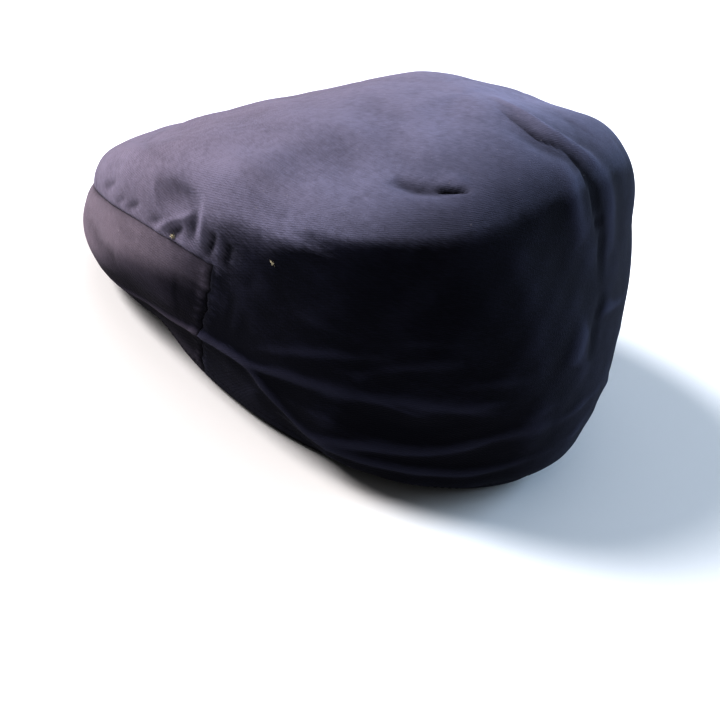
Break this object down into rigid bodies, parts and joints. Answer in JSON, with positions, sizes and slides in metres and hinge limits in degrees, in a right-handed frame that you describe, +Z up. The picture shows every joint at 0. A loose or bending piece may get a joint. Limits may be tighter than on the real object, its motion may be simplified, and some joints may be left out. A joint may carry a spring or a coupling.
{
  "type": "flat cap",
  "caption": "Soft flat cap of brushed cotton: a full crown gathered onto a wide turned-down peak, with a plain band at the open head hole; worn on the head.",
  "frame": {"origin": "bottom centre of the whole cap's box, on the plane that the band's lower edge rests on", "axes": "+Z up through the crown, -Y towards the peak at the front, +X towards the wearer's left"},
  "size_m": [0.209, 0.2552, 0.1398],
  "materials": {
    "crown_cloth": "brushed navy cotton twill, matt with a faint sheen",
    "peak_cloth": "brushed navy cotton twill, matt with a faint sheen",
    "band_cloth": "dark navy woven cotton tape, matt"
  },
  "bodies": {
    "root": {"crown": "crown_cloth", "peak": "peak_cloth", "band": "band_cloth"}
  },
  "joints": []
}
